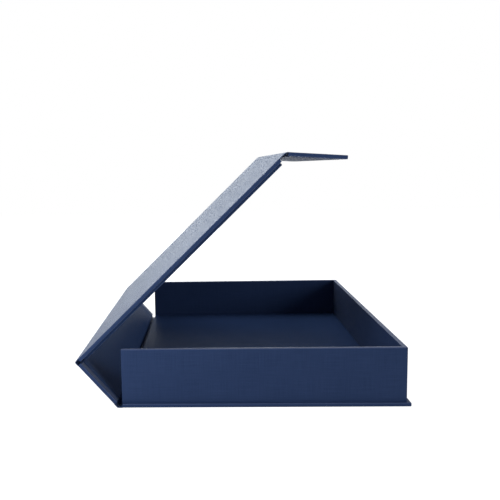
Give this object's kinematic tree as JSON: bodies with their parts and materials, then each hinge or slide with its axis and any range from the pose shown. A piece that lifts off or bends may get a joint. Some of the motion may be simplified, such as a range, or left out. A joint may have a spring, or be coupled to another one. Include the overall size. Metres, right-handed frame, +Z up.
{
  "type": "clamshell book box",
  "caption": "Cloth-covered book box: a case of hinged boards folds round a walled tray, a panel inside the lid drops between the walls and a magnetic flap closes the front.",
  "frame": {"origin": "on the table, under the middle of the tray's length and width", "axes": "+X from the spine to the front flap's side, +Y from the tail wall to the head wall, +Z up; stored with the lid held open"},
  "size_m": [0.2599, 0.317, 0.1962],
  "materials": {
    "book_cloth": "matt woven book cloth, navy",
    "lining_cloth": "matt woven book cloth, navy",
    "greyboard": "matt grey binder's board",
    "striker_steel": "plain sheet steel",
    "magnet_plating": "bright nickel plate"
  },
  "bodies": {
    "tray": {"base_board": "greyboard", "base_cover": "book_cloth", "tray_floor_board": "greyboard", "tail_wall_board": "greyboard", "head_wall_board": "greyboard", "front_wall_board": "greyboard", "tray_wall_cloth": "book_cloth", "tray_floor_lining": "lining_cloth", "tail_striker": "striker_steel", "head_striker": "striker_steel", "spine_hinge_cloth": "book_cloth", "spine_hinge_lining": "lining_cloth"},
    "spine": {"spine_board": "greyboard", "spine_cover": "book_cloth", "spine_lining": "lining_cloth", "lid_hinge_cloth": "book_cloth", "lid_hinge_lining": "lining_cloth"},
    "lid": {"lid_board": "greyboard", "lid_cover": "book_cloth", "lid_panel_board": "greyboard", "lid_panel_cloth": "lining_cloth", "flap_hinge_cloth": "book_cloth", "flap_hinge_lining": "lining_cloth"},
    "flap": {"flap_board": "greyboard", "flap_cover": "book_cloth", "flap_lining": "lining_cloth", "tail_magnet": "magnet_plating", "head_magnet": "magnet_plating"}
  },
  "joints": [
    {"name": "spine_hinge", "type": "hinge", "parent": "tray", "child": "spine", "pos_m": [-0.11415, 0, 0.00015], "axis": [0, 1, 0], "range_deg": [-48.5, 41.5], "deforming": ["spine_hinge_cloth", "spine_hinge_lining"]},
    {"name": "lid_hinge", "type": "hinge", "parent": "spine", "child": "lid", "pos_m": [-0.14665, 0, 0.03689], "axis": [0, 1, 0], "range_deg": [-87.35, 2.65], "deforming": ["lid_hinge_cloth", "lid_hinge_lining"]},
    {"name": "flap_hinge", "type": "hinge", "parent": "lid", "child": "flap", "pos_m": [0.01737, 0, 0.19612], "axis": [0, 1, 0], "range_deg": [-48.35, 41.65], "deforming": ["flap_hinge_cloth", "flap_hinge_lining"]}
  ]
}
